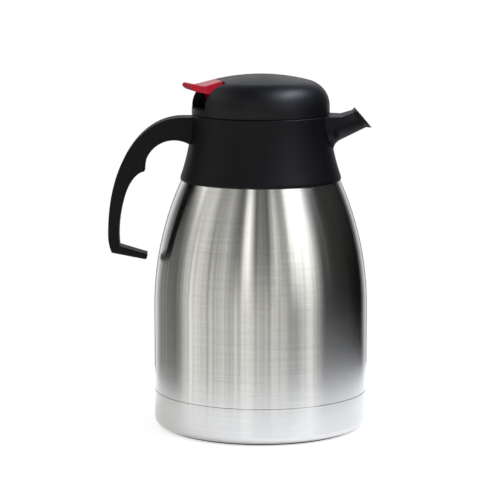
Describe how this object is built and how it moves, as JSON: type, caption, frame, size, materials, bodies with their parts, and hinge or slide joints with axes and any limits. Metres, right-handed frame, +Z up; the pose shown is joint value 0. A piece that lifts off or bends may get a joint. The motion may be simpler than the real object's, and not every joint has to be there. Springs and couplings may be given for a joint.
{
  "type": "insulated coffee jug",
  "caption": "Double-walled steel coffee jug with a moulded collar, spout and open handle, and a screw-in stopper that a thumb lever opens to pour.",
  "frame": {"origin": "centre of the base pad's underside, on the surface the jug stands on", "axes": "+Z up along the jug's axis, +X towards the spout, -X towards the handle"},
  "size_m": [0.1696, 0.138, 0.2283],
  "materials": {
    "brushed_steel": "fine brushing around the body, satin",
    "flask_steel": "drawn stainless steel, plain",
    "solder_glass": "dark glass solder",
    "getter_metal": "sintered, dull",
    "pad_rubber": "matt",
    "collar_plastic": "fine spark-eroded grain, satin",
    "handle_plastic": "fine grain, satin",
    "lid_plastic": "fine grain, satin",
    "inner_plastic": "moulded, satin",
    "silicone": "translucent grey silicone",
    "screw_steel": "zinc plated",
    "pin_steel": "ground",
    "spring_steel": "drawn wire",
    "stem_steel": "ground",
    "lever_plastic": "polished"
  },
  "bodies": {
    "jug": {"outer_shell": "brushed_steel", "inner_flask": "flask_steel", "shell_bottom": "flask_steel", "vacuum_plug": "solder_glass", "getter": "getter_metal", "base_cup": "brushed_steel", "base_pad": "pad_rubber", "collar": "collar_plastic", "neck_gasket": "silicone", "neck_ring": "inner_plastic", "handle": "handle_plastic", "handle_screws": "screw_steel"},
    "gasket": {"stopper_gasket": "silicone"},
    "stopper": {"stopper_body": "inner_plastic", "valve_seat_cap": "inner_plastic", "stem_seal": "silicone", "lid_dome": "lid_plastic", "dome_screws": "screw_steel", "lever_pin": "pin_steel", "valve_spring": "spring_steel"},
    "lever": {"lever": "lever_plastic"},
    "valve": {"poppet": "inner_plastic", "valve_seal": "silicone", "valve_stem": "stem_steel", "stem_head": "inner_plastic"}
  },
  "joints": [
    {"name": "stopper_lift", "type": "slide", "parent": "jug", "child": "gasket", "axis": [0, 0, 1], "range_m": [0, 0.054]},
    {"name": "stopper_turn", "type": "hinge", "parent": "gasket", "child": "stopper", "pos_m": [0, 0, 0.19], "axis": [0, 0, 1], "range_deg": [0, 1080]},
    {"name": "lever_press", "type": "hinge", "parent": "stopper", "child": "lever", "pos_m": [-0.02884, -0.00827, 0.21403], "axis": [0.2756, -0.9613, 0], "range_deg": [0, 16]},
    {"name": "valve_lift", "type": "slide", "parent": "stopper", "child": "valve", "axis": [0, 0, 1], "range_m": [0, 0.0088], "stiffness_N_per_m": 400, "springref_m": -0.006, "deforming": ["valve_spring"]}
  ],
  "couplings": [
    {"joint": "stopper_lift", "follows": "stopper_turn", "m_per_rad": 0.0028648},
    {"joint": "lever_press", "follows": "valve_lift", "rad_per_m": 31.746}
  ]
}
